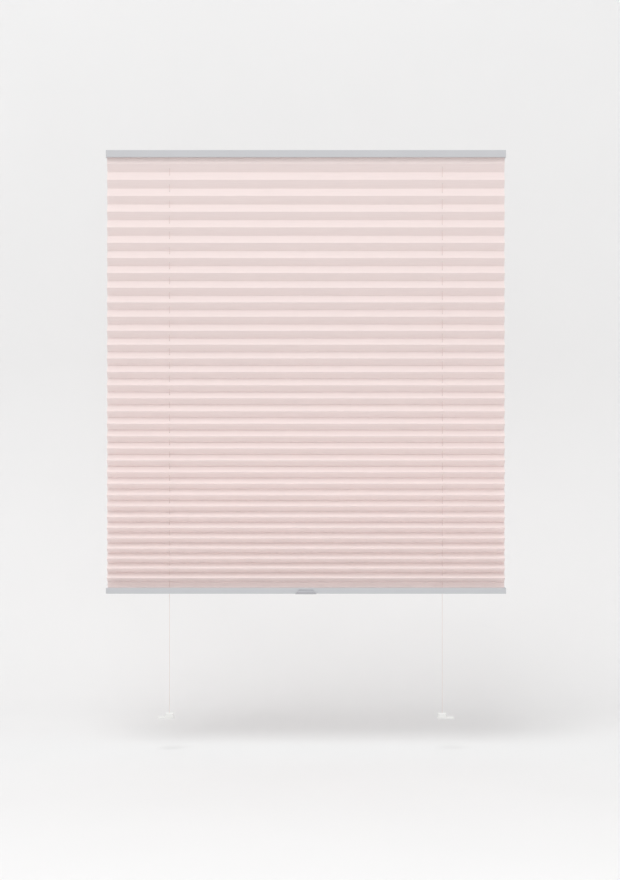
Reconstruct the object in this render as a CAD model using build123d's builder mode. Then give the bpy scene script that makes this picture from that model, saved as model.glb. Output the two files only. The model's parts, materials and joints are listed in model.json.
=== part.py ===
from build123d import *

import os
from math import sqrt

# A tensioned pleated blind for a window sash. The head rail is screwed under the upper
# glazing bead and the two tension shoes are screwed to the lower bead. Between them run two
# thin cords. They pass through the pleats and cross over inside the bottom rail, which keeps
# that rail level and lets it stay at any height.
#
# Frame: millimetres, X to the right, Y to the back (the glass), Z up. The origin is the
# middle of the head rail's top face, where the blind is fastened.

os.makedirs("parts", exist_ok=True)

# The blind as a whole
blind_width = 878.0
opening_height = 1248.0
rail_depth = 22.0
head_rail_height = 16.0
bottom_rail_height = 13.0

# The rails: one aluminium channel section, its slot towards the fabric
side_wall = 1.2
closed_wall = 2.0
lip = 1.2
slot_width = 13.0
rail_corner = 1.0

# End caps: a flange that closes the section and a hollow plug in the channel
cap_flange = 1.5
cap_plug_length = 9.0
cap_plug_wall = 1.2

# The fabric: pleat_count front folds, spaced wide at the top, where it carries its weight
fabric_thickness = 0.4
fabric_side_gap = 0.5
pleat_count = 33
pleat_face = 20.0
first_pitch = 35.8
last_pitch = 21.1
first_drop = 13.1
last_drop = 21.2

# The flat strips that hold the fabric's hems behind the rails' lips
strip_width = 15.0
strip_thickness = 1.2
strip_side_gap = 2.0
strip_hole_radius = 1.5
fabric_hole_radius = 1.2
punch_sides = 8

# Cords and the pins that turn them
cord_spacing = 600.0
cord_diameter = 0.8
cord_offset = 0.8
pin_diameter = 2.2
pin_length = 14.0

# Forked guides that turn the cords, with their slot towards the middle of the blind
guide_length = 18.0
guide_back = 6.0
guide_slot = 3.4
guide_screw_reach = 3.4
spigot_radius = 2.4
spigot_bore = 1.1

# Forked anchors that hold the springs, with their slot towards the guides
anchor_spacing = 340.0
anchor_length = 14.0
anchor_front = 2.6
anchor_slot_reach = 3.4
anchor_screw_reach = 7.0

# Tension springs and the sleeves that join the cords to them
spring_wire = 0.7
spring_coil_radius = 2.6
spring_ring_radius = 2.5
spring_turns = 40
spring_end_hole = 0.9
eye_section = 0.8
eye_radius = 1.7
sleeve_radius = 1.5
sleeve_length = 7.0
sleeve_grip = 5.0

# Countersunk screws that hold the guides and the spring anchors to the head rail
screw_radius = 1.4
screw_length = 7.0
screw_head_radius = 2.7

# Holes for the fixing screws
fixing_spacing = 780.0
fixing_radius = 1.6
fixing_head_radius = 2.8

# Tension shoes: a foot on the bead and a block that snaps over it
foot_length = 36.0
foot_inner_reach = 11.0
foot_width = 16.0
foot_thickness = 2.0
foot_corner = 2.0
foot_hole_reach = 16.0
boss_length = 10.0
boss_width = 8.0
boss_height = 2.4
block_length = 18.0
block_width = 14.0
block_height = 9.0
block_roof = 1.8
block_edge = 1.0
stop_length = 4.0
stop_grip = 3.0

# Finger grip, clipped round the middle of the bottom rail
grip_base_width = 46.0
grip_top_width = 31.0
grip_rise = 9.0
grip_reach = 6.5
grip_wall = 1.2
grip_floor = 0.8
grip_lift = 2.0
grip_hook = 4.0
grip_corner = 3.0

# Clearances
slip = 0.2
fine_play = 0.1
pin_play = 0.05

# Worked out from the sizes above
rail_length = blind_width - 2 * cap_flange
fabric_width = rail_length - 2 * fabric_side_gap
strip_length = fabric_width - 2 * strip_side_gap
cavity_depth = rail_depth - 2 * side_wall
hem_width = strip_width + 2 * (slip + fabric_thickness)
hem_height = strip_thickness + 2 * (slip + fabric_thickness)
cord_x = cord_spacing / 2
bend_radius = (pin_diameter + cord_diameter) / 2 + fine_play
pin_x = cord_x - bend_radius
guide_inner_x = cord_x + guide_back - guide_length
anchor_x = anchor_spacing / 2
anchor_inner_x = anchor_x + anchor_front - anchor_length
pitch_step = (first_pitch - last_pitch) / (pleat_count - 2)
first_fold_z = -head_rail_height - first_drop
last_fold_z = first_fold_z - (pleat_count - 1) * (first_pitch + last_pitch) / 2
bottom_rail_top = last_fold_z - last_drop
bottom_rail_floor = bottom_rail_top - bottom_rail_height

# Each rail is described by its closed face and the way from there to its slot
HEAD = (0.0, -1, head_rail_height)
BOTTOM = (bottom_rail_floor, 1, bottom_rail_height)


def keep(piece, name):
    """Labels a finished piece and writes its file."""
    piece.part.label = name
    export_step(piece.part, f"parts/{name}.step")


def keep_pair(piece, name):
    """Keeps the right-hand piece, and its twin at the left, turned half round the Z axis."""
    keep(piece, f"{name}_right")
    twin = piece.part.rotate(Axis.Z, 180)
    twin.label = f"{name}_left"
    export_step(twin, f"parts/{name}_left.step")


def height_in(rail, distance):
    """The height of a level that lies this far inside a rail's closed face."""
    closed_face, way, _ = rail
    return closed_face + way * distance


def hem_middle(rail):
    """The middle height of the hem, which lies behind the rail's lips."""
    return height_in(rail, rail[2] - lip - slip - hem_height / 2)


def chamber(rail):
    """Middle height and height of the free space between the closed wall and the hem."""
    near = closed_wall
    far = rail[2] - lip - slip - hem_height
    return height_in(rail, (near + far) / 2), far - near


# The heights of the cords' level stretches, each in the middle of its rail's chamber
head_cord_z = chamber(HEAD)[0]
bottom_cord_z = chamber(BOTTOM)[0]


# Rails


def make_rail(rail):
    """One channel extrusion, without its holes."""
    height = rail[2]
    cavity_height = height - closed_wall - lip
    with BuildPart() as channel:
        with BuildSketch(Plane.YZ.offset(-rail_length / 2)):
            with Locations((0, height_in(rail, height / 2))):
                RectangleRounded(rail_depth, height, rail_corner)
            with Locations((0, height_in(rail, closed_wall + cavity_height / 2))):
                Rectangle(cavity_depth, cavity_height, mode=Mode.SUBTRACT)
            with Locations((0, height_in(rail, height))):
                Rectangle(slot_width, 2 * lip, mode=Mode.SUBTRACT)
        extrude(amount=rail_length)
    return channel.part


def screw_points():
    """Where the countersunk screws go into the guides and the anchors."""
    reaches = (cord_x + guide_screw_reach, anchor_x - anchor_screw_reach)
    return [(side * x, 0) for side in (-1, 1) for x in reaches]


with BuildPart() as head_rail:
    add(make_rail(HEAD))
    with Locations(Plane.XY):
        with Locations(*screw_points()):
            CounterSinkHole(screw_radius + slip, screw_head_radius + fine_play, closed_wall)
    with Locations(Plane.XY.offset(-closed_wall)):
        with Locations((-fixing_spacing / 2, 0), (fixing_spacing / 2, 0)):
            with Locations(Location((0, 0, 0), (180, 0, 0))):
                CounterSinkHole(fixing_radius, fixing_head_radius, closed_wall)
keep(head_rail, "head_rail")

with BuildPart() as bottom_rail:
    add(make_rail(BOTTOM))
    with BuildSketch(Plane.XY.offset(bottom_rail_floor)):
        with Locations((-cord_x, -cord_offset), (cord_x, cord_offset)):
            Circle(spigot_radius + slip)
    extrude(amount=closed_wall, mode=Mode.SUBTRACT)
keep(bottom_rail, "bottom_rail")


# End caps


def make_cap(rail):
    """A flange over the right-hand end of the rail and a hollow plug in its chamber."""
    plug_z, plug_space = chamber(rail)
    plug_width = cavity_depth - 2 * slip
    plug_height = plug_space - 2 * slip
    rail_end = Plane.YZ.offset(rail_length / 2)
    with BuildPart() as cap:
        with BuildSketch(rail_end):
            with Locations((0, height_in(rail, rail[2] / 2))):
                RectangleRounded(rail_depth, rail[2], rail_corner)
        extrude(amount=cap_flange)
        with BuildSketch(rail_end):
            with Locations((0, plug_z)):
                Rectangle(plug_width, plug_height)
                inner_width = plug_width - 2 * cap_plug_wall
                inner_height = plug_height - 2 * cap_plug_wall
                Rectangle(inner_width, inner_height, mode=Mode.SUBTRACT)
        extrude(amount=-cap_plug_length)
    return cap


keep_pair(make_cap(HEAD), "head_cap")
keep_pair(make_cap(BOTTOM), "bottom_cap")


# Strips and fabric

for rail, strip_name in ((HEAD, "head_strip"), (BOTTOM, "bottom_strip")):
    with BuildPart() as strip:
        with BuildSketch(Plane.XY.offset(hem_middle(rail) - strip_thickness / 2)):
            Rectangle(strip_length, strip_width)
            # Both strips are pierced where the cords run between the rails
            with Locations((-cord_x, cord_offset), (cord_x, -cord_offset)):
                Circle(strip_hole_radius, mode=Mode.SUBTRACT)
        extrude(amount=strip_thickness)
    keep(strip, strip_name)


def pleat_line():
    """The fold points from hem to hem, as (depth, height, half the wall measured in depth)."""
    points = [(0.0, hem_middle(HEAD) - hem_height / 2 + fabric_thickness / 2)]
    slants = [1.0]
    fold_z = first_fold_z
    for pleat in range(pleat_count):
        pitch = max(first_pitch - pleat * pitch_step, last_pitch)
        reach = sqrt(pleat_face**2 - (pitch / 2) ** 2) / 2
        points.append((-reach, fold_z))
        points.append((reach, fold_z - pitch / 2))
        slants += [pleat_face / (pitch / 2)] * 2
        fold_z -= pitch
    points.append((0.0, hem_middle(BOTTOM) + hem_height / 2 - fabric_thickness / 2))
    slants.append(slants[-1])
    half_wall = fabric_thickness / 2
    return [(y, z, half_wall * slant) for (y, z), slant in zip(points, slants)]


with BuildPart() as pleated_fabric:
    with BuildSketch(Plane.YZ.offset(-fabric_width / 2)):
        with BuildLine():
            folds = pleat_line()
            back_side = [(y + half, z) for y, z, half in folds]
            front_side = [(y - half, z) for y, z, half in reversed(folds)]
            Polyline(*back_side, *front_side, close=True)
        make_face()
        with Locations((0, hem_middle(HEAD)), (0, hem_middle(BOTTOM))):
            Rectangle(hem_width, hem_height)
            hem_inside = hem_height - 2 * fabric_thickness
            Rectangle(hem_width - 2 * fabric_thickness, hem_inside, mode=Mode.SUBTRACT)
    extrude(amount=fabric_width)
    with BuildSketch(Plane.XY):
        with Locations((-cord_x, cord_offset), (cord_x, -cord_offset)):
            # Flat-sided holes keep the mesh of the many layers small
            RegularPolygon(fabric_hole_radius, punch_sides)
    extrude(amount=bottom_rail_floor, mode=Mode.SUBTRACT)
keep(pleated_fabric, "pleated_fabric")


# Guides, anchors and their pins


def make_fork(rail, ends, slot_ends, pins):
    """A moulded block across a rail's chamber, slotted for the cord, with pin holes across it.

    Ends are distances from the blind's middle, and pins are the (x, z) of each pin.
    """
    middle_z, space = chamber(rail)
    depth = cavity_depth - 2 * slip
    height = space - 2 * slip
    with BuildPart() as fork:
        with BuildSketch(Plane.XY.offset(middle_z - height / 2)):
            with Locations((sum(ends) / 2, 0)):
                Rectangle(ends[1] - ends[0], depth)
            with Locations((sum(slot_ends) / 2, 0)):
                Rectangle(slot_ends[1] - slot_ends[0], guide_slot, mode=Mode.SUBTRACT)
        extrude(amount=height)
        with BuildSketch(Plane.XZ):
            with Locations(*pins):
                Circle(pin_diameter / 2 + pin_play)
        extrude(amount=pin_length / 2 + fine_play, both=True, mode=Mode.SUBTRACT)
    return fork.part


def screw_pilot(screw_x):
    """The hole that a countersunk screw cuts its thread in, below the closed wall."""
    with BuildPart() as pilot:
        with BuildSketch(Plane.XY.offset(-closed_wall)):
            with Locations((screw_x, 0)):
                Circle(screw_radius + pin_play)
        extrude(amount=closed_wall - screw_length - fine_play)
    return pilot.part


guide_ends = (guide_inner_x, guide_inner_x + guide_length)
guide_slot_ends = (guide_inner_x, cord_x + cord_diameter / 2 + slip)
anchor_ends = (anchor_inner_x, anchor_inner_x + anchor_length)
anchor_slot_ends = (anchor_x - anchor_slot_reach, anchor_ends[1])
head_pin = (pin_x, head_cord_z - bend_radius)
upper_pin = (pin_x, bottom_cord_z + bend_radius)
lower_pin = (pin_x, bottom_cord_z - bend_radius)
anchor_pin = (anchor_x, head_cord_z)

with BuildPart() as head_cord_guide:
    add(make_fork(HEAD, guide_ends, guide_slot_ends, [head_pin]))
    add(screw_pilot(cord_x + guide_screw_reach), mode=Mode.SUBTRACT)
keep_pair(head_cord_guide, "head_cord_guide")

with BuildPart() as spring_anchor:
    add(make_fork(HEAD, anchor_ends, anchor_slot_ends, [anchor_pin]))
    add(screw_pilot(anchor_x - anchor_screw_reach), mode=Mode.SUBTRACT)
keep_pair(spring_anchor, "spring_anchor")

# The bottom guide's spigot lines the cord's hole in the rail and keeps the guide in place
with BuildPart() as bottom_cord_guide:
    add(make_fork(BOTTOM, guide_ends, guide_slot_ends, [upper_pin, lower_pin]))
    with BuildSketch(Plane.XY.offset(bottom_rail_floor)):
        with Locations((cord_x, cord_offset)):
            Circle(spigot_radius)
    extrude(amount=closed_wall + 2 * slip)
    with BuildSketch(Plane.XY.offset(bottom_rail_floor)):
        with Locations((cord_x, cord_offset)):
            Circle(spigot_bore)
    extrude(amount=closed_wall + 2 * slip, mode=Mode.SUBTRACT)
keep_pair(bottom_cord_guide, "bottom_cord_guide")

for pins, name in (((head_pin, anchor_pin), "head_pins"), ((upper_pin, lower_pin), "bottom_pins")):
    with BuildPart() as steel_pins:
        with BuildSketch(Plane.XZ):
            with Locations(*[(side * x, z) for side in (-1, 1) for x, z in pins]):
                Circle(pin_diameter / 2)
        extrude(amount=pin_length / 2, both=True)
    keep(steel_pins, name)

with BuildPart() as rail_screws:
    head_depth = screw_head_radius - screw_radius
    for x, y in screw_points():
        with BuildSketch(Plane(origin=(x, y, -fine_play), x_dir=(1, 0, 0), z_dir=(0, -1, 0))):
            with BuildLine():
                Polyline(
                    (0, 0),
                    (screw_head_radius, 0),
                    (screw_radius, -head_depth),
                    (screw_radius, -screw_length),
                    (0, -screw_length),
                    close=True,
                )
            make_face()
        revolve(axis=Axis((x, y, 0), (0, 0, 1)))
keep(rail_screws, "rail_screws")


# Tension springs with the sleeves that join the cords to them. At the right the cord above
# the bottom rail lies in front of the middle, and at the left behind it, so that the two
# cords pass each other in the bottom rail.

upper_y = -cord_offset
lower_y = cord_offset
ring_x = anchor_x + spring_ring_radius - (spring_wire + pin_diameter) / 2 - fine_play
coil_start_x = ring_x + spring_ring_radius - spring_wire / 2
coil_end_x = coil_start_x + spring_turns * spring_wire
far_ring_x = coil_end_x - spring_wire / 2 + spring_ring_radius
spring_inner_radius = spring_coil_radius - spring_wire / 2
wires_apart = (spring_wire + eye_section) / 2 + fine_play
eye_x = far_ring_x + spring_ring_radius + eye_radius - wires_apart
sleeve_start_x = eye_x + eye_radius - eye_section / 2
sleeve_end_x = sleeve_start_x + sleeve_length
cord_start_x = sleeve_end_x - sleeve_grip

with BuildPart() as tension_spring:
    with BuildSketch(Plane(origin=(0, upper_y, head_cord_z), x_dir=(1, 0, 0), z_dir=(0, -1, 0))):
        with BuildLine():
            # Inside, the end turns narrow to carry the rings
            Polyline(
                (coil_end_x, spring_coil_radius),
                (coil_end_x, spring_end_hole),
                (coil_end_x - spring_wire, spring_end_hole),
                (coil_end_x - spring_wire, spring_inner_radius),
                (coil_start_x + spring_wire, spring_inner_radius),
                (coil_start_x + spring_wire, spring_end_hole),
                (coil_start_x, spring_end_hole),
                (coil_start_x, spring_coil_radius),
            )
            # The turns of wire lie against each other, so the outside is a row of ridges
            ridge_radius = spring_coil_radius + spring_wire / 2
            for turn in range(spring_turns):
                turn_x = coil_start_x + turn * spring_wire
                Polyline(
                    (turn_x, spring_coil_radius),
                    (turn_x + spring_wire / 3, ridge_radius),
                    (turn_x + spring_wire * 2 / 3, ridge_radius),
                    (turn_x + spring_wire, spring_coil_radius),
                )
        make_face()
    revolve(axis=Axis((0, upper_y, head_cord_z), (1, 0, 0)))
    for ring_middle in (ring_x, far_ring_x):
        with Locations(Location((ring_middle, upper_y, head_cord_z), (90, 0, 0))):
            Torus(spring_ring_radius, spring_wire / 2)
keep_pair(tension_spring, "tension_spring")

with BuildPart() as cord_sleeve:
    with BuildSketch(Plane.XY.offset(head_cord_z)):
        with Locations((eye_x, upper_y)):
            Circle(eye_radius + eye_section / 2)
            Circle(eye_radius - eye_section / 2, mode=Mode.SUBTRACT)
    extrude(amount=eye_section / 2, both=True)
    with BuildSketch(Plane.YZ.offset(sleeve_start_x)):
        with Locations((upper_y, head_cord_z)):
            Circle(sleeve_radius)
    extrude(amount=sleeve_length)
    with BuildSketch(Plane.YZ.offset(sleeve_end_x)):
        with Locations((upper_y, head_cord_z)):
            Circle(cord_diameter / 2 + pin_play)
    extrude(amount=-sleeve_grip, mode=Mode.SUBTRACT)
keep_pair(cord_sleeve, "cord_sleeve")


# Cords, each in four stretches that meet end to end


def make_cord(depth, corners):
    """A round cord in the plane at this depth, turned about a pin at each inner corner."""
    with BuildPart() as cord:
        with BuildLine(Plane.XZ.offset(-depth)) as route:
            if len(corners) > 2:
                FilletPolyline(*corners, radius=bend_radius)
            else:
                Line(*corners)
        with BuildSketch(Plane(origin=route.line @ 0, z_dir=route.line % 0)):
            Circle(cord_diameter / 2)
        sweep(path=route.line)
    return cord


bead_z = -opening_height
block_floor_z = bead_z + foot_thickness
block_top_z = block_floor_z + block_height
stop_top_z = block_top_z - block_roof - fine_play
cord_end_z = stop_top_z - stop_grip

head_route = [
    (cord_start_x, head_cord_z),
    (cord_x, head_cord_z),
    (cord_x, -head_rail_height),
]
crossing_route = [
    (cord_x, bottom_rail_top),
    (cord_x, bottom_cord_z),
    (-cord_x, bottom_cord_z),
    (-cord_x, bottom_rail_floor),
]
upper_route = [(cord_x, -head_rail_height), (cord_x, bottom_rail_top)]
lower_route = [(cord_x, bottom_rail_floor), (cord_x, cord_end_z)]
keep_pair(make_cord(upper_y, head_route), "head_cord")
keep_pair(make_cord(upper_y, upper_route), "upper_cord")
keep_pair(make_cord(upper_y, crossing_route), "crossing_cord")
keep_pair(make_cord(lower_y, lower_route), "lower_cord")


# Tension shoes

with BuildPart() as shoe_foot:
    with BuildSketch(Plane.XY.offset(bead_z)):
        with Locations((cord_x + foot_length / 2 - foot_inner_reach, 0)):
            RectangleRounded(foot_length, foot_width, foot_corner)
    extrude(amount=foot_thickness)
    with BuildSketch(Plane.XY.offset(block_floor_z)):
        with Locations((cord_x, 0)):
            Rectangle(boss_length, boss_width)
    extrude(amount=boss_height)
    with Locations((cord_x + foot_hole_reach, 0, block_floor_z)):
        CounterSinkHole(fixing_radius, fixing_head_radius, foot_thickness)
keep_pair(shoe_foot, "shoe_foot")

with BuildPart() as shoe_block:
    with BuildSketch(Plane.XY.offset(block_floor_z)):
        with Locations((cord_x, 0)):
            RectangleRounded(block_length, block_width, foot_corner)
    extrude(amount=block_height)
    fillet(shoe_block.faces().sort_by(Axis.Z)[-1].edges(), block_edge)
    with BuildSketch(Plane.XY.offset(block_floor_z)):
        with Locations((cord_x, 0)):
            Rectangle(boss_length + 2 * slip, boss_width + 2 * slip)
    extrude(amount=boss_height + slip, mode=Mode.SUBTRACT)
    with BuildSketch(Plane.XY.offset(block_floor_z)):
        with Locations((cord_x, lower_y)):
            Circle(sleeve_radius + slip)
    extrude(amount=block_height - block_roof, mode=Mode.SUBTRACT)
    with BuildSketch(Plane.XY.offset(block_floor_z)):
        with Locations((cord_x, lower_y)):
            Circle(cord_diameter / 2 + slip)
    extrude(amount=block_height, mode=Mode.SUBTRACT)
keep_pair(shoe_block, "shoe_block")

with BuildPart() as cord_stop:
    with BuildSketch(Plane.XY.offset(stop_top_z)):
        with Locations((cord_x, lower_y)):
            Circle(sleeve_radius)
    extrude(amount=-stop_length)
    with BuildSketch(Plane.XY.offset(stop_top_z)):
        with Locations((cord_x, lower_y)):
            Circle(cord_diameter / 2 + pin_play)
    extrude(amount=-stop_grip, mode=Mode.SUBTRACT)
keep_pair(cord_stop, "cord_stop")


# Finger grip: a clip round the rail, with a lip that reaches forward at its foot

with BuildPart() as finger_grip:
    front_y = -rail_depth / 2 - slip
    back_y = rail_depth / 2 + slip
    inner_z = bottom_rail_floor - slip
    foot_z = inner_z - grip_floor
    lip_z = foot_z + grip_lift
    with BuildSketch(Plane.YZ.offset(-grip_base_width / 2)):
        with BuildLine():
            lip_top = (front_y - grip_reach, lip_z + grip_wall)
            plate_top = (front_y - grip_wall, inner_z + grip_rise)
            Polyline(
                plate_top,
                (front_y, inner_z + grip_rise),
                (front_y, inner_z),
                (back_y, inner_z),
                (back_y, inner_z + grip_hook),
                (back_y + grip_wall, inner_z + grip_hook),
                (back_y + grip_wall, foot_z),
                (front_y - grip_wall, foot_z),
                (front_y - grip_reach, lip_z),
                lip_top,
            )
            # The front of the lip is hollowed for the fingers
            JernArc(start=lip_top, tangent=(1, 0), radius=grip_reach - grip_wall, arc_size=90)
            Line((front_y - grip_wall, lip_top[1] + grip_reach - grip_wall), plate_top)
        make_face()
    extrude(amount=grip_base_width)
    with BuildSketch(Plane.XZ.offset(-back_y - 2 * grip_wall)) as grip_front:
        with BuildLine():
            Polyline(
                (-grip_base_width / 2, foot_z),
                (grip_base_width / 2, foot_z),
                (grip_base_width / 2, inner_z),
                (grip_top_width / 2, inner_z + grip_rise),
                (-grip_top_width / 2, inner_z + grip_rise),
                (-grip_base_width / 2, inner_z),
                close=True,
            )
        make_face()
        fillet(grip_front.vertices().sort_by(Axis.Y)[-2:], grip_corner)
    extrude(amount=2 * rail_depth + grip_reach, mode=Mode.INTERSECT)
keep(finger_grip, "finger_grip")

down_travel = bottom_rail_floor - block_top_z
print(f"cord bend radius {bend_radius:.2f} mm, cord diameter {cord_diameter:.2f} mm")
print(f"bottom rail top {bottom_rail_top:.2f}, floor {bottom_rail_floor:.2f}")
print(f"way down to the shoes {down_travel:.2f} mm")
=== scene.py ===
# %% [markdown]
# A tensioned pleated blind: a fixed head rail, a pleated cloth, and a bottom rail that slides on
# two taut cords and stays where it is left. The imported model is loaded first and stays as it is.
# What is hard, such as rails, caps and shoes, keeps its solids and gets its finish here. What is
# soft, the cloth and the cords that lengthen and shorten, is modelled again in this lesson.

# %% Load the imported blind
import json
import math
from collections import namedtuple
import bpy
import numpy as np
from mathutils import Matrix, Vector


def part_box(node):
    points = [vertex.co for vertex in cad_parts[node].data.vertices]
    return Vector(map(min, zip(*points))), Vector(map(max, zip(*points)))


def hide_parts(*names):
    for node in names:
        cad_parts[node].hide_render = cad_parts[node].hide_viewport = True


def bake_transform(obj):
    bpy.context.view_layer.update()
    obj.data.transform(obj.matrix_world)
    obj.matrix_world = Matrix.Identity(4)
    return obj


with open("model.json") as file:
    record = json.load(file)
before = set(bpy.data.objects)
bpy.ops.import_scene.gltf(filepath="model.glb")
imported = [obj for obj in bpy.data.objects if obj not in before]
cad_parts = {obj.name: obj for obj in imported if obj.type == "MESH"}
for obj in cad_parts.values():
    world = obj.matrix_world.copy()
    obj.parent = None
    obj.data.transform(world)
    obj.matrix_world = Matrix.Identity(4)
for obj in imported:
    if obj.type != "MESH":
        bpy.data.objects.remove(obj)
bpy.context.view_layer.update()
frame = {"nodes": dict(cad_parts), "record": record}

nodes = frame["nodes"]

# %% [markdown]
# Three small helpers are used all through. One turns a written colour into the linear values
# that shaders work with, one adds a node with its settings and links, and one leaves nothing
# selected, because an operator acts on all that is selected.

# %% Colour, node and selection helpers
def linear(written):
    """A written sRGB hex colour as linear red, green, blue and alpha."""
    shares = [int(written[i : i + 2], 16) / 255 for i in (1, 3, 5)]
    return tuple(s / 12.92 if s <= 0.04045 else ((s + 0.055) / 1.055) ** 2.4 for s in shares) + (1.0,)


def add_node(tree, kind, options=None, values=None, links=None):
    """Adds a node: its options, its sockets' own values, and what is linked into its sockets."""
    node = tree.nodes.new(kind)
    for option, choice in (options or {}).items():
        setattr(node, option, choice)
    for socket, value in (values or {}).items():
        node.inputs[socket].default_value = value
    for socket, source in (links or {}).items():
        tree.links.new(source, node.inputs[socket])
    return node


def select_only(*objects):
    """Deselects all, then selects these objects and makes the first one active."""
    bpy.ops.object.select_all(action="DESELECT")
    for piece in objects:
        piece.select_set(True)
    bpy.context.view_layer.objects.active = objects[0] if objects else None


select_only()
print("helpers ready")

# %% [markdown]
# The camera stands level, 4 metres in front of the blind. One pixel of the photograph is
# 2.2 mm at the blind, which gives the lens. The photograph is cut out of a wider view, a little
# off its middle, and the lens shift repeats that cut without turning the camera.

# %% Camera
pixel_metres = 0.0022
picture_height = 880
crop_right, crop_up = 10, -24
camera_distance = 4.0
camera_across, camera_height = -0.013, -0.5838
bpy.ops.object.camera_add(
    location=(camera_across, -camera_distance, camera_height), rotation=(math.radians(90), 0, 0)
)
camera = bpy.context.object
camera.name = "camera"
camera.data.lens = camera.data.sensor_width * camera_distance / pixel_metres / picture_height
camera.data.shift_x = crop_right / picture_height
camera.data.shift_y = crop_up / picture_height
bpy.context.scene.camera = camera
bpy.context.scene.view_settings.view_transform = "Standard"
print("lens", round(camera.data.lens, 1), "mm")

# %% [markdown]
# The blind hangs in front of a plain pale cove: a floor that turns up into a wall in one wide
# curve, as in a photographer's studio. It starts as a plane whose back edge is extruded upwards.

# %% Cove floor and wall
floor_height = -1.32
floor_middle = -2.0
cove_width, floor_depth, wall_height = 14.0, 7.0, 6.0
touching = 1e-6
bpy.ops.mesh.primitive_plane_add(size=1, location=(0, 0, 0))
cove = bpy.context.object
cove.name = "studio_cove"
cove.scale = (cove_width, floor_depth, 1)
cove.location = (0, floor_middle, floor_height)
bpy.ops.object.transform_apply(location=True, rotation=True, scale=True)
bpy.ops.object.mode_set(mode="EDIT")
bpy.ops.mesh.select_mode(type="EDGE")
bpy.ops.mesh.select_all(action="DESELECT")
bpy.ops.object.mode_set(mode="OBJECT")
back_y = max(v.co.y for v in cove.data.vertices)
for edge in cove.data.edges:
    edge.select = all(abs(cove.data.vertices[i].co.y - back_y) < touching for i in edge.vertices)
bpy.ops.object.mode_set(mode="EDIT")
bpy.ops.mesh.extrude_region_move(TRANSFORM_OT_translate={"value": (0, 0, wall_height)})
bpy.ops.object.mode_set(mode="OBJECT")
print("cove wall", wall_height, "m high at y", back_y)

# %% [markdown]
# The one edge where floor and wall meet is then bevelled into the curve. Afterwards all faces are
# turned to look inwards, at the blind, because the paint tells the wall's front from its rear.

# %% Cove curve
curve_offset, curve_steps = 0.9, 16
for edge in cove.data.edges:
    ends = [cove.data.vertices[i].co for i in edge.vertices]
    edge.select = all(max(abs(p.y - back_y), abs(p.z - floor_height)) < touching for p in ends)
bpy.ops.object.mode_set(mode="EDIT")
bpy.ops.mesh.bevel(offset=curve_offset, segments=curve_steps, affect="EDGES")
bpy.ops.mesh.select_all(action="SELECT")
bpy.ops.mesh.normals_make_consistent(inside=False)
bpy.ops.object.mode_set(mode="OBJECT")
floor_face = max(cove.data.polygons, key=lambda face: face.area)
if floor_face.normal.z < 0:
    cove.data.flip_normals()
bpy.ops.object.shade_smooth()
print("cove of", len(cove.data.polygons), "faces")

# %% [markdown]
# The cove is matt pale paint. It keeps the blind's soft shadow, so it is a plain diffuse surface
# with a faint mottling, about a third of a metre across, as a roller leaves. The wall would hide
# the blind from anyone who walks round behind it, so its rear is clear, for the camera alone. The
# helper starts this material and all that follow.

# %% Cove paint
def start_material(name):
    """A new material with its node tree, its shader, and the coordinates to pattern it by."""
    material = bpy.data.materials.new(name)
    material.use_nodes = True
    tree = material.node_tree
    place = add_node(tree, "ShaderNodeTexCoord")
    return material, tree, tree.nodes["Principled BSDF"], place.outputs


cove_paint, tree, shader, place = start_material("rolled_matt_wall_paint")
mottle = add_node(
    tree, "ShaderNodeTexNoise", values={"Scale": 3.0, "Detail": 2.0}, links={"Vector": place["Object"]}
)
tint = add_node(tree, "ShaderNodeValToRGB", links={"Fac": mottle.outputs["Fac"]})
tint.color_ramp.elements[0].color = linear("#E9E9E9")
tint.color_ramp.elements[1].color = linear("#ECECEC")
tree.links.new(tint.outputs["Color"], shader.inputs["Base Color"])
shader.inputs["Roughness"].default_value = 0.9
shader.inputs["Specular IOR Level"].default_value = 0.2
side_seen = add_node(tree, "ShaderNodeNewGeometry")
looked_at = add_node(tree, "ShaderNodeLightPath")
from_behind = add_node(
    tree, "ShaderNodeMath", {"operation": "MULTIPLY"},
    links={0: side_seen.outputs["Backfacing"], 1: looked_at.outputs["Is Camera Ray"]},
)
clear = add_node(tree, "ShaderNodeBsdfTransparent")
painted = add_node(
    tree, "ShaderNodeMixShader",
    links={0: from_behind.outputs["Value"], 1: shader.outputs["BSDF"], 2: clear.outputs["BSDF"]},
)
tree.links.new(painted.outputs["Shader"], tree.nodes["Material Output"].inputs["Surface"])
cove.data.materials.append(cove_paint)
print("cove painted")

# %% [markdown]
# The light is that of a bright room: an even glow from all round, and one broad lamp above and
# in front. The upper face of every pleat turns to the lamp and the lower face away from it,
# which draws the pale and dark bands. A second lamp at the floor keeps the dark bands clear. A
# weak third lamp stands close behind the cloth and shines through its lower part, as daylight
# does. Its beam is narrow, so that it mostly stays off the floor, and the camera doesn't see it.

# %% Lamps and world
world = bpy.data.worlds.new("room_light")
bpy.context.scene.world = world
world.use_nodes = True
world.node_tree.nodes["Background"].inputs["Color"].default_value = (1.0, 1.0, 1.0, 1.0)
world.node_tree.nodes["Background"].inputs["Strength"].default_value = 0.80


def add_lamp(name, size, power, spot, target):
    """A square area lamp at spot, facing target, with its size in metres and its power in watts."""
    bpy.ops.object.light_add(type="AREA", location=spot)
    lamp = bpy.context.object
    lamp.name = name
    lamp.data.shape = "SQUARE"
    lamp.data.size = size
    lamp.data.energy = power
    way = [t - s for s, t in zip(spot, target)]
    flat = math.hypot(way[0], way[1])
    lamp.rotation_euler = (math.atan2(flat, -way[2]), 0, math.atan2(-way[0], way[1]))
    return lamp


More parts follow.
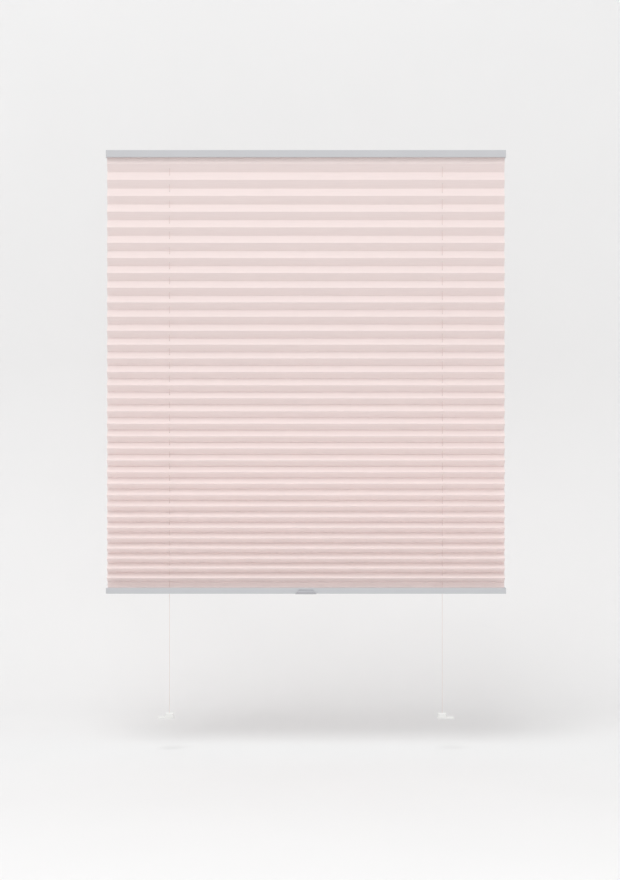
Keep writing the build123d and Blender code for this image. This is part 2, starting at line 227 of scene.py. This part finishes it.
blind_middle = (0, 0, -0.55)
add_lamp("ceiling_lamp", size=3.0, power=132.0, spot=(-1.0, -3.0, 4.6), target=blind_middle)
add_lamp("floor_lamp", size=2.0, power=8.0, spot=(0.3, -2.2, -1.2), target=blind_middle)
rear_lamp = add_lamp("rear_lamp", size=1.8, power=1.2, spot=(0, 0.9, -0.78), target=(0, 0, -0.8))
rear_lamp.data.shape = "RECTANGLE"
rear_lamp.data.size_y = 0.45
rear_lamp.data.spread = math.radians(36)
rear_lamp.visible_camera = False
select_only()
print("room lit")

# %% [markdown]
# The cloth is one sheet. It starts inside the head rail, where its hem wraps a flat strip, runs
# down through the pleats, and ends round the strip in the bottom rail. Its line is settled
# first, seen from the side: each pleat face is 20 mm long, and the pleats stand wide at the top,
# where they carry all the cloth below, and close up towards the bottom.

# %% Fold points of the cloth, seen from the side
pleat_count = 33
pleat_face = 0.020
first_pitch = 0.0358
last_pitch = 0.0211
first_drop = 0.0131
hem_reach = 0.008
hem_half = 0.001
hem_edge = 0.0025
slot_depth = 0.002
head_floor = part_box("head_rail")[0][2]
bottom_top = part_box("bottom_rail")[1][2]
head_hem = sum(corner[2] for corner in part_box("head_strip")) / 2
bottom_hem = sum(corner[2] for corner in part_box("bottom_strip")) / 2

side_line = [
    (hem_edge, head_hem - hem_half),
    (hem_reach, head_hem - hem_half),
    (hem_reach, head_hem + hem_half),
    (-hem_reach, head_hem + hem_half),
    (-hem_reach, head_hem - hem_half),
    (-slot_depth, head_hem - hem_half),
]
first_fold = len(side_line)
fold_height = head_floor - first_drop
for pleat in range(pleat_count):
    pitch = max(first_pitch - pleat * (first_pitch - last_pitch) / (pleat_count - 2), last_pitch)
    reach = math.sqrt(pleat_face**2 - (pitch / 2) ** 2) / 2
    side_line += [(-reach, fold_height), (reach, fold_height - pitch / 2)]
    fold_height -= pitch
side_line += [
    (slot_depth, bottom_hem + hem_half),
    (hem_reach, bottom_hem + hem_half),
    (hem_reach, bottom_hem - hem_half),
    (-hem_reach, bottom_hem - hem_half),
    (-hem_reach, bottom_hem + hem_half),
    (-hem_edge, bottom_hem + hem_half),
]
side_line = np.array(side_line)
last_corner = len(side_line) - 1
last_fold = first_fold + 2 * pleat_count - 1
print(len(side_line), "corners, folds from", side_line[first_fold], "to", side_line[last_fold])

# %% [markdown]
# A pressed crease is not a knife edge, so each corner of the line becomes a small arc. The line
# is noted as rows of points, and each row remembers after which corner it comes, how far along
# that face it is, whether it is in a crease, and whether a cord hole touches it.

# %% Rows and creases
crease_radius = 0.00035
arc_steps = 4
Row = namedtuple("Row", "depth height corner share crease punched")
rows = []


def add_row(point, corner, share, crease=0.0, punched=False):
    """Notes one row of points."""
    rows.append(Row(point[0], point[1], corner, share, crease, punched))


def unit(way):
    """The same way, one metre long."""
    return way / np.linalg.norm(way)


def trim(corner):
    """How far before a corner its arc starts. The two ends of the line have no arc."""
    if corner in (0, last_corner):
        return 0.0
    back = unit(side_line[corner - 1] - side_line[corner])
    ahead = unit(side_line[corner + 1] - side_line[corner])
    return crease_radius / math.tan(math.acos(back @ ahead) / 2)


def add_crease(corner):
    """Notes the arc of rows round a corner. Its first half belongs to the face before it."""
    way = unit(side_line[corner] - side_line[corner - 1])
    onward = unit(side_line[corner + 1] - side_line[corner])
    turn = math.acos(np.clip(way @ onward, -1, 1))
    inward = math.copysign(1.0, way[0] * onward[1] - way[1] * onward[0]) * np.array([-way[1], way[0]])
    arc_start = side_line[corner] - way * trim(corner)
    for step in range(arc_steps + 1):
        angle = turn * step / arc_steps
        point = arc_start + crease_radius * (math.sin(angle) * way + (1 - math.cos(angle)) * inward)
        passed = step > arc_steps / 2
        add_row(point, corner if passed else corner - 1, 0.0 if passed else 1.0, crease=1.0)


print("creases of", crease_radius * 1000, "mm radius, first trimmed by", round(trim(first_fold), 5), "m")

# %% [markdown]
# A row close beside each arc keeps the flat face's shading flat. Where a face passes the cords,
# three rows are set for the punched holes, and on the pleats two more let the face sag.

# %% Rows of points along the line
hole_half_length = 0.0015
long_face = 0.01
least_gap = 0.0001


def add_face(corner):
    """Notes the rows of the flat face after a corner."""
    start, end = side_line[corner], side_line[corner + 1]
    length = np.linalg.norm(end - start)
    pleated = first_fold <= corner < last_fold
    flat_start = trim(corner) + crease_radius
    flat_end = length - trim(corner + 1) - crease_radius
    stops = [(flat_start, False)]
    if start[0] * end[0] < 0:
        middle = length * start[0] / (start[0] - end[0])
        stops += [(0.5 * (flat_start + middle - hole_half_length), False)] if pleated else []
        stops += [(middle + k * hole_half_length, True) for k in (-1, 0, 1)]
        stops += [(0.5 * (flat_end + middle + hole_half_length), False)] if pleated else []
    elif length > long_face:
        stops += [(length / 3, False), (2 * length / 3, False)]
    stops += [(flat_end, False)] if flat_end > flat_start + least_gap else []
    for stop, punched in stops:
        add_row(start + (end - start) / length * stop, corner, stop / length, punched=punched)


add_row(side_line[0], 0, 0.0)
for corner in range(last_corner):
    add_face(corner)
    if corner + 1 < last_corner:
        add_crease(corner + 1)
add_row(side_line[last_corner], last_corner - 1, 1.0)

line = np.array([(row.depth, row.height) for row in rows])
lengths = np.concatenate([[0.0], np.cumsum(np.linalg.norm(np.diff(line, axis=0), axis=1))])

# %% [markdown]
# When the blind is raised, its folds come to lie on one another. Each crease keeps its round nose
# and swells a little, as pressed cloth does when it is no longer pulled, and the flat faces lie
# down between the creases. So each row gets a second height, the one it has when the blind is
# fully raised. The creases are set first, evenly along the cords, and the faces follow. A nose
# takes up four fifths of its room in the stack. It grows to 2.9 times its height at most, because
# the same shares press it flatter where the rail is drawn down.

# %% Heights when the blind is fully raised
full_lift = frame["record"]["behaviour"]["joints"][0]["range_m"][1]
cloth_thickness = 0.0003
nose_fill = 0.8
most_swell = 2.9


def even_share(height):
    """The share of the bottom rail's way at this height: none at the head rail, all at its own."""
    return np.clip((head_floor - height) / (head_floor - bottom_top), 0.0, 1.0)


raised_corners = side_line[:, 1] + full_lift * even_share(side_line[:, 1])
reachable = np.clip(raised_corners, bottom_top + full_lift, head_floor)


def swell(fold):
    """How many times its height this fold's nose grows to, to fill its room in the stack."""
    room = min(reachable[fold - 1] - reachable[fold], reachable[fold] - reachable[fold + 1])
    above = max(fold - 1, first_fold)
    face = side_line[above + 1] - side_line[above]
    level = abs(face[0]) / np.linalg.norm(face)
    fitting = (nose_fill * room - cloth_thickness / 2 * level) / (crease_radius * level)
    return min(most_swell, fitting)


settled = []
raised_heights = []
for r, row in enumerate(rows):
    in_rail = not bottom_top < row.height < head_floor
    if in_rail:
        raised_heights.append(row.height + full_lift * even_share(row.height))
    elif row.crease:
        fold = row.corner + round(row.share)
        raised_heights.append(raised_corners[fold] + swell(fold) * (row.height - side_line[fold][1]))
    if in_rail or row.crease:
        settled.append(r)
raised = np.interp(lengths, lengths[settled], raised_heights)
print("raised, the cloth stands between", raised.min().round(4), "and", raised.max().round(4))

# %% [markdown]
# Across its width the cloth needs few points, as the folds run straight from side to side. Three
# columns at each cord make room for the punched holes. The sheet starts as a flat grid with one
# square for each row and column, like cloth on the cutting table.

# %% Flat cloth
cloth_left, cloth_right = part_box("pleated_fabric")[0][0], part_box("pleated_fabric")[1][0]
cord_x = sum(corner[0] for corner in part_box("upper_cord_right")) / 2
hole_half_width = 0.0012
plain_columns = 25
columns = list(np.linspace(cloth_left, cloth_right, plain_columns))
for side in (-1, 1):
    columns += [side * cord_x + shift * hole_half_width for shift in (-1, 0, 1)]
columns = np.array(sorted(columns))
bpy.ops.mesh.primitive_grid_add(x_subdivisions=len(columns) - 1, y_subdivisions=len(rows) - 1, size=1)
cloth = bpy.context.object
cloth.name = "pleated_cloth"
assert len(cloth.data.vertices) == len(columns) * len(rows)
print(len(columns), "columns,", len(cloth.data.vertices), "points")

# %% [markdown]
# A pressed pleat runs dead straight to the eye, so each crease wanders by less than a tenth of a
# millimetre, as the sum of three long waves, and each face sags by about as much.

# %% Wander and sag
chance = np.random.default_rng(33)
waves = chance.uniform(0.0, 2 * math.pi, size=(len(side_line), 2, 3))
wave_lengths = np.array([0.95, 0.43, 0.21])
wave_heights = np.array([0.00005, 0.00003, 0.00002])
usual_sag = 0.00012
sags = chance.uniform(0.7, 1.3, size=len(side_line)) * usual_sag


def wander(corner, x):
    """How far this crease wanders in depth and height at x. Creases in the rails stay put."""
    if not first_fold <= corner <= last_fold:
        return np.zeros(2)
    turns = waves[corner] + 2 * math.pi * x / wave_lengths
    return (wave_heights * np.sin(turns)).sum(axis=1)


wanders = np.array([[wander(corner, x) for x in columns] for corner in range(len(side_line))])
print("creases wander by up to", round(np.abs(wanders).max() * 1000, 3), "mm")

# %% [markdown]
# The cord holes are punched where the line passes the cords, a little before or behind the middle
# of a face. So the points round a hole shift there along the face, and its four corners are drawn
# in to round it. The point in the middle of each hole is marked, and goes later.

# %% Cord holes
corner_cut = 1 - math.sqrt(0.5)
cord_depth = {}
for side, name in ((-1, "left"), (1, "right")):
    near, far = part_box(f"upper_cord_{name}")
    cord_depth[side] = (near[1] + far[1]) / 2


def round_hole(r, x, run):
    """A point's shift along its face and across, and whether it goes. Run: depth per metre of face."""
    side = math.copysign(1.0, x)
    beside = round((x - side * cord_x) / hole_half_width, 6)
    if not rows[r].punched or beside not in (-1.0, 0.0, 1.0):
        return 0.0, 0.0, False
    step = int(rows[r - 1].punched) - int(rows[r + 1].punched)
    along = cord_depth[int(side)] / run
    across = 0.0
    if beside and step:
        along -= step * hole_half_length * corner_cut
        across = -beside * hole_half_width * corner_cut
    return along, across, beside == 0.0 and step == 0


print("cords at depths", cord_depth)

# %% [markdown]
# Now the grid is folded: each row of points goes to its place on the line, with its crease's
# wander and its face's sag. At the same time each point gets the share of the bottom rail's way
# that takes it to its second height.

# %% Fold the cloth
grid = (len(rows), len(columns))
flat_place = np.zeros(grid + (2,))
folded = np.zeros(grid + (3,))
creases = np.zeros(grid)
lift_shares = np.zeros(grid)
doomed = np.zeros(grid, bool)
for r, row in enumerate(rows):
    following = min(row.corner + 1, last_corner)
    ahead = side_line[following] - side_line[row.corner]
    way = unit(ahead) if following > row.corner else np.array([1.0, 0.0])
    loose = (1 - row.share) * wanders[row.corner] + row.share * wanders[following]
    sagging = first_fold <= row.corner < last_fold
    sag = sags[row.corner] * math.sin(math.pi * row.share) if sagging else 0.0
    below = np.array([way[1], -way[0]]) * math.copysign(1.0, way[0])
    for c, x in enumerate(columns):
        along, across, doomed[r, c] = round_hole(r, x, way[0])
        point = np.array([row.depth, row.height]) + way * along + loose[c] + below * sag
        folded[r, c] = (x + across, point[0], point[1])
        flat_place[r, c] = (x + across - cloth_left, lengths[r] + along)
        creases[r, c] = row.crease
        lift_shares[r, c] = np.clip((raised[r] - point[1]) / full_lift, 0.0, 1.0)
cloth.data.vertices.foreach_set("co", folded.reshape(-1, 3).astype(np.float32).ravel())
print("folded between", folded[..., 2].min().round(4), "and", folded[..., 2].max().round(4))

# %% [markdown]
# The cloth keeps a map of itself as it lay flat, in units of 1.5 m, so that the weave follows it
# through every fold. A second map marks the creases, and a third keeps the share of the bottom
# rail's way that each point goes along. Then the points in the middle of the holes are deleted,
# which opens them, with the maps already in place.

# %% Maps of the cloth
map_metres = 1.5
corner_points = np.zeros(len(cloth.data.loops), np.int32)
cloth.data.loops.foreach_get("vertex_index", corner_points)
weave_places = (flat_place.reshape(-1, 2) / map_metres)[corner_points]
cloth.data.uv_layers[0].data.foreach_set("uv", weave_places.astype(np.float32).ravel())
crease_map = cloth.data.attributes.new("crease", "FLOAT", "POINT")
crease_map.data.foreach_set("value", creases.astype(np.float32).ravel())
lift_map = cloth.data.attributes.new("lift_share", "FLOAT", "POINT")
lift_map.data.foreach_set("value", lift_shares.astype(np.float32).ravel())
select_only(cloth)
bpy.ops.object.mode_set(mode="EDIT")
bpy.ops.mesh.select_mode(type="VERT")
bpy.ops.mesh.select_all(action="DESELECT")
bpy.ops.object.mode_set(mode="OBJECT")
cloth.data.vertices.foreach_set("select", doomed.ravel())
bpy.ops.object.mode_set(mode="EDIT")
bpy.ops.mesh.delete(type="VERT")
bpy.ops.object.mode_set(mode="OBJECT")
print(int(doomed.sum()), "cord holes punched")

# %% [markdown]
# Solidify gives the sheet the thickness of a light polyester cloth, 0.3 mm, half to each side of
# the line, and closes its edges. Shading by angle keeps the cut edges crisp.

# %% Thickness of the cloth
solidify = cloth.modifiers.new("thickness", "SOLIDIFY")
solidify.thickness = cloth_thickness
solidify.offset = 0.0
bpy.ops.object.modifier_apply(modifier=solidify.name)
bpy.ops.object.mode_set(mode="EDIT")
bpy.ops.mesh.select_all(action="SELECT")
bpy.ops.mesh.normals_make_consistent(inside=False)
bpy.ops.object.mode_set(mode="OBJECT")
bpy.ops.object.shade_smooth_by_angle(angle=math.radians(50))
print("cloth of", len(cloth.data.polygons), "faces")

# %% [markdown]
# The cloth's placement is baked into its points. Each point keeps in its map the share of the
# bottom rail's way worked out for it, from none at the upper hem to all at the lower hem, even
# along the cords, because the usual soft start and stop would drive the middle pleats through each other.

# %% Bake the cloth's placement into its points
def follow_shares(piece):
    """Bakes the piece's placement into its points."""
    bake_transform(piece)


kept_shares = np.zeros(len(cloth.data.vertices), np.float32)
cloth.data.attributes["lift_share"].data.foreach_get("value", kept_shares)
follow_shares(cloth)
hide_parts("pleated_fabric")

# %% [markdown]
# Above the bottom rail the cords shorten as the rail rises, and below it they lengthen, so these
# four stretches are modelled again. A braided cord shows eight soft ridges, so the section is a
# circle with every second point drawn in, extruded along the stretch.

# %% Cord stretches above and below the bottom rail
strand_count = 8
dip_share = 0.86


def make_stretch(name, node):
    """A braided cord stretch in place of a CAD cord node."""
    low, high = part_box(node)
    middle = [(a + b) / 2 for a, b in zip(low, high)]
    radius = (high[0] - low[0]) / 2
    bpy.ops.mesh.primitive_circle_add(
        vertices=2 * strand_count, radius=radius, fill_type="NGON",
        location=(middle[0], middle[1], low[2]),
    )
    cord = bpy.context.object
    cord.name = name
    bpy.ops.object.transform_apply(location=True, rotation=True, scale=True)
    for vertex in list(cord.data.vertices)[::2]:
        vertex.co.x = middle[0] + (vertex.co.x - middle[0]) * dip_share
        vertex.co.y = middle[1] + (vertex.co.y - middle[1]) * dip_share
    bpy.ops.object.mode_set(mode="EDIT")
    bpy.ops.mesh.select_all(action="SELECT")
    bpy.ops.mesh.extrude_region_move(TRANSFORM_OT_translate={"value": (0, 0, high[2] - low[2])})
    bpy.ops.mesh.select_all(action="SELECT")
    bpy.ops.mesh.normals_make_consistent(inside=False)
    bpy.ops.object.mode_set(mode="OBJECT")
    bpy.ops.object.shade_smooth_by_angle(angle=math.radians(70))
    follow_shares(cord)
    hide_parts(node)
    return cord


cords = []
for side in ("left", "right"):
    cords.append(make_stretch(f"cord_above_{side}", f"upper_cord_{side}"))
    cords.append(make_stretch(f"cord_below_{side}", f"lower_cord_{side}"))
print(len(cords), "cord stretches of", len(cords[0].data.polygons), "faces each")

# %% [markdown]
# The cloth's finish: a plain-woven polyester, dyed a pale blush and pressed into pleats. To the
# eye it is matt with a faint bloom at grazing angles. Its threads lie 0.4 mm apart, drawn here as
# 0.8 mm so that they show in a close view. Two wave patterns, one for each way of the threads,
# are multiplied into the weave.

# %% Weave of the polyester
woven, tree, shader, place = start_material("plain_woven_polyester")
in_metres = add_node(
    tree, "ShaderNodeMapping", values={"Scale": (map_metres, map_metres, 1.0)},
    links={"Vector": place["UV"]},
)
thread_spacing = 0.0008


def wave_scale(spacing):
    """The Scale for waves this many metres apart. Blender multiplies it by 20 before the sine."""
    return 2 * math.pi / 20 / spacing


warp = add_node(
    tree, "ShaderNodeTexWave", {"bands_direction": "X"},
    {"Scale": wave_scale(thread_spacing), "Distortion": 0.6, "Detail": 1.0},
    {"Vector": in_metres.outputs["Vector"]},
)
weft = add_node(
    tree, "ShaderNodeTexWave", {"bands_direction": "Y"},
    {"Scale": wave_scale(thread_spacing), "Distortion": 0.6, "Detail": 1.0},
    {"Vector": in_metres.outputs["Vector"]},
)
weave = add_node(
    tree, "ShaderNodeMath", {"operation": "MULTIPLY"},
    links={0: warp.outputs["Fac"], 1: weft.outputs["Fac"]},
)
print("threads", thread_spacing * 1000, "mm apart")

# %% [markdown]
# Uneven yarns leave faint level streaks, so a noise about 2.4 mm high and twenty times as long sets
# the colour, and the gaps between the threads are a little darker, which is painted shade.

# %% Colour of the polyester
streak_map = add_node(
    tree, "ShaderNodeMapping", values={"Scale": (0.05, 1.0, 1.0)},
    links={"Vector": in_metres.outputs["Vector"]},
)
streaks = add_node(
    tree, "ShaderNodeTexNoise", values={"Scale": 420.0, "Detail": 3.0},
    links={"Vector": streak_map.outputs["Vector"]},
)
yarn_tint = add_node(tree, "ShaderNodeValToRGB", links={"Fac": streaks.outputs["Fac"]})
yarn_tint.color_ramp.elements[0].position = 0.3
yarn_tint.color_ramp.elements[1].position = 0.7
yarn_tint.color_ramp.elements[0].color = linear("#F7ECEA")
yarn_tint.color_ramp.elements[1].color = linear("#FAEFED")
# Painted shade: where the weave is low, in the gaps between the threads, the colour drops to 0.97.
thread_gap_painted_shade = add_node(
    tree, "ShaderNodeMapRange", values={"To Min": 0.97, "To Max": 1.01},
    links={"Value": weave.outputs["Value"]},
)
cloth_colour = add_node(
    tree, "ShaderNodeVectorMath", {"operation": "SCALE"},
    links={0: yarn_tint.outputs["Color"], "Scale": thread_gap_painted_shade.outputs["Result"]},
)
tree.links.new(cloth_colour.outputs["Vector"], shader.inputs["Base Color"])
print("cloth dyed")

# %% [markdown]
# The pressed creases are a touch smoother than the rest, and the threads stand up a little. The
# cloth is thin enough to let some daylight through, so a translucent share is mixed in.

# %% Surface of the polyester
crease_mark = add_node(tree, "ShaderNodeAttribute", {"attribute_name": "crease"})
pressed = add_node(
    tree, "ShaderNodeMapRange", values={"To Min": 0.82, "To Max": 0.6},
    links={"Value": crease_mark.outputs["Fac"]},
)
tree.links.new(pressed.outputs["Result"], shader.inputs["Roughness"])
relief = add_node(
    tree, "ShaderNodeBump", values={"Strength": 0.35, "Distance": 0.0001},
    links={"Height": weave.outputs["Value"]},
)
tree.links.new(relief.outputs["Normal"], shader.inputs["Normal"])
shader.inputs["Sheen Weight"].default_value = 0.1
shader.inputs["Specular IOR Level"].default_value = 0.2
glow = add_node(
    tree, "ShaderNodeBsdfTranslucent",
    links={"Color": cloth_colour.outputs["Vector"], "Normal": relief.outputs["Normal"]},
)
let_through = 0.3
thin_cloth = add_node(
    tree, "ShaderNodeMixShader", values={0: let_through},
    links={1: shader.outputs["BSDF"], 2: glow.outputs["BSDF"]},
)
tree.links.new(thin_cloth.outputs["Shader"], tree.nodes["Material Output"].inputs["Surface"])
cloth.data.materials.append(woven)
print("cloth pressed, and", let_through, "of it lets light through")

# %% [markdown]
# The cords are braided polyester in the cloth's colour. The braid is a crossing of two slanted
# sets of strands, 0.6 mm from one crossing to the next. Two bands of waves, slanted each way,
# draw it on the stretches and on the hidden runs inside the rails alike. The grooves between the
# strands are painted darker, as painted shade.

# %% Braided polyester cord
braided, tree, shader, place = start_material("braided_polyester_cord")
strand_spacing = 0.0006
slants = []
for turn in (35, -35):
    turned = add_node(
        tree, "ShaderNodeMapping", values={"Rotation": (math.radians(turn), math.radians(turn), 0)},
        links={"Vector": place["Object"]},
    )
    slants.append(
        add_node(
            tree, "ShaderNodeTexWave", {"bands_direction": "Z"},
            {"Scale": wave_scale(strand_spacing), "Distortion": 0.3}, {"Vector": turned.outputs["Vector"]},
        )
    )
braid = add_node(
    tree, "ShaderNodeMath", {"operation": "MULTIPLY"},
    links={0: slants[0].outputs["Fac"], 1: slants[1].outputs["Fac"]},
)
# Painted shade: the grooves between the strands take the darker colour, the strand tops the paler.
strand_colour_and_painted_shade = add_node(tree, "ShaderNodeValToRGB", links={"Fac": braid.outputs["Value"]})
strand_colour_and_painted_shade.color_ramp.elements[0].color = linear("#D9C4C0")
strand_colour_and_painted_shade.color_ramp.elements[1].color = linear("#F2E2DE")
tree.links.new(strand_colour_and_painted_shade.outputs["Color"], shader.inputs["Base Color"])
relief = add_node(
    tree, "ShaderNodeBump", values={"Strength": 0.5, "Distance": 0.0001},
    links={"Height": braid.outputs["Value"]},
)
tree.links.new(relief.outputs["Normal"], shader.inputs["Normal"])
shader.inputs["Roughness"].default_value = 0.7
for cord in cords:
    cord.data.materials.append(braided)
print("cords braided")

# %% [markdown]
# The rails are extruded aluminium with a satin powder coat. The coat is white, and the light cool
# grey it is given here is painted shade, as a white coat looks with the daylight behind it. Powder
# melts into a skin with a very fine orange peel, about 1.5 mm from hill to hill, which softens
# reflections. Its colour drifts a touch over about 11 cm. It is paint, so it isn't metallic to
# the eye.

# %% Powder-coated aluminium
coated, tree, shader, place = start_material("powder_coated_aluminium")
peel_width = 0.0015
peel = add_node(
    tree, "ShaderNodeTexNoise", values={"Scale": 1 / peel_width, "Detail": 2.0},
    links={"Vector": place["Object"]},
)
drift = add_node(
    tree, "ShaderNodeTexNoise", values={"Scale": 9.0, "Detail": 2.0}, links={"Vector": place["Object"]}
)
# Painted shade: both colours are a grey darker than the white coat; the drift between them is the coat's
# own.
coat_drift_and_painted_shade = add_node(tree, "ShaderNodeValToRGB", links={"Fac": drift.outputs["Fac"]})
coat_drift_and_painted_shade.color_ramp.elements[0].color = linear("#BDBEC1")
coat_drift_and_painted_shade.color_ramp.elements[1].color = linear("#C1C2C5")
coat_roughness = add_node(
    tree, "ShaderNodeMapRange", values={"To Min": 0.42, "To Max": 0.52},
    links={"Value": peel.outputs["Fac"]},
)
relief = add_node(
    tree, "ShaderNodeBump", values={"Strength": 0.12, "Distance": 0.00005},
    links={"Height": peel.outputs["Fac"]},
)
tree.links.new(coat_drift_and_painted_shade.outputs["Color"], shader.inputs["Base Color"])
tree.links.new(coat_roughness.outputs["Result"], shader.inputs["Roughness"])
tree.links.new(relief.outputs["Normal"], shader.inputs["Normal"])
print("rails coated, with an orange peel of", peel_width * 1000, "mm")

# %% [markdown]
# The plastic pieces are moulded, each in its own plastic: tinted ABS for the caps and the grip,
# nylon for the guides and anchors inside, and white acetal for the shoes. A mould is spark-eroded
# to a fine grain, 0.5 mm across, which the piece takes over, and the melt leaves faint flow marks
# about 17 mm across. One recipe serves all, with each plastic's darker and paler colour, its
# roughness, and how strong its grain is.

# %% Moulded plastics
plastics = {
    "moulded_abs_cap": ("#BBBCBF", "#BFC0C3", 0.45, 0.15),
    "moulded_abs_grip": ("#A7A8AD", "#ACADB2", 0.28, 0.05),
    "moulded_nylon": ("#D6D6D0", "#DCDCD7", 0.50, 0.20),
    "moulded_acetal": ("#E2E2E0", "#E8E8E6", 0.36, 0.10),
}
grain_width = 0.0005
moulded = {}
for name, (dark, pale, roughness, grain_strength) in plastics.items():
    moulded[name], tree, shader, place = start_material(name)
    grain = add_node(
        tree, "ShaderNodeTexNoise", values={"Scale": 1 / grain_width, "Detail": 2.0},
        links={"Vector": place["Object"]},
    )
    flow = add_node(
        tree, "ShaderNodeTexNoise", values={"Scale": 60.0, "Detail": 2.0},
        links={"Vector": place["Object"]},
    )
    flow_tint = add_node(tree, "ShaderNodeValToRGB", links={"Fac": flow.outputs["Fac"]})
    flow_tint.color_ramp.elements[0].color = linear(dark)
    flow_tint.color_ramp.elements[1].color = linear(pale)
    grain_roughness = add_node(
        tree, "ShaderNodeMapRange", values={"To Min": roughness - 0.05, "To Max": roughness + 0.05},
        links={"Value": grain.outputs["Fac"]},
    )
    relief = add_node(
        tree, "ShaderNodeBump", values={"Strength": grain_strength, "Distance": 0.00003},
        links={"Height": grain.outputs["Fac"]},
    )
    tree.links.new(flow_tint.outputs["Color"], shader.inputs["Base Color"])
    tree.links.new(grain_roughness.outputs["Result"], shader.inputs["Roughness"])
    tree.links.new(relief.outputs["Normal"], shader.inputs["Normal"])
print("moulded", *moulded)

# %% [markdown]
# The bare metals are rolled aluminium for the strips, drawn steel for springs, pins and screws,
# and turned brass for sleeves and stops. Rolling, drawing and turning all leave fine lines, so
# the noise is drawn out along the way the tool went: along the strip, along the wire or pin, and
# round the sleeve. The lines are 0.4 mm apart, coarser than real ones, so that they show. Each
# metal has its darker and paler colour, its roughness, and the way its lines are drawn out.

# %% Bare metals
metals = {
    "rolled_aluminium": ("#B7B9BD", "#C4C6C9", 0.34, (0.02, 1.0, 1.0)),
    "drawn_spring_steel": ("#9FA1A5", "#B0B2B6", 0.28, (1.0, 0.1, 1.0)),
    "turned_brass": ("#B79A5B", "#CBB074", 0.30, (1.0, 0.15, 0.15)),
}
line_width = 0.0004
bare = {}
for name, (dark, pale, roughness, drawn_out) in metals.items():
    bare[name], tree, shader, place = start_material(name)
    stretched = add_node(
        tree, "ShaderNodeMapping", values={"Scale": drawn_out}, links={"Vector": place["Object"]}
    )
    lines = add_node(
        tree, "ShaderNodeTexNoise", values={"Scale": 1 / line_width, "Detail": 3.0},
        links={"Vector": stretched.outputs["Vector"]},
    )
    line_tint = add_node(tree, "ShaderNodeValToRGB", links={"Fac": lines.outputs["Fac"]})
    line_tint.color_ramp.elements[0].color = linear(dark)
    line_tint.color_ramp.elements[1].color = linear(pale)
    line_roughness = add_node(
        tree, "ShaderNodeMapRange", values={"To Min": roughness - 0.06, "To Max": roughness + 0.08},
        links={"Value": lines.outputs["Fac"]},
    )
    relief = add_node(
        tree, "ShaderNodeBump", values={"Strength": 0.15, "Distance": 0.00003},
        links={"Height": lines.outputs["Fac"]},
    )
    tree.links.new(line_tint.outputs["Color"], shader.inputs["Base Color"])
    tree.links.new(line_roughness.outputs["Result"], shader.inputs["Roughness"])
    tree.links.new(relief.outputs["Normal"], shader.inputs["Normal"])
    shader.inputs["Metallic"].default_value = 1.0
print("bare metals", *bare)

# %% [markdown]
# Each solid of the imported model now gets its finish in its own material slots. Its shape and its
# place stay as they are.

# %% Finish the solids
finishes = {
    "rail_coating": coated,
    "cap_plastic": moulded["moulded_abs_cap"],
    "grip_plastic": moulded["moulded_abs_grip"],
    "guide_plastic": moulded["moulded_nylon"],
    "shoe_plastic": moulded["moulded_acetal"],
    "strip_aluminium": bare["rolled_aluminium"],
    "steel": bare["drawn_spring_steel"],
    "sleeve_brass": bare["turned_brass"],
    "cord_braid": braided,
    "pleated_cloth": woven,
}
slot_of = {part["node"]: part["material_slot"] for part in frame["record"]["subparts"]}
for name, solid in nodes.items():
    for slot in solid.material_slots:
        slot.material = finishes[slot_of[name]]
print(len(nodes), "solids finished")
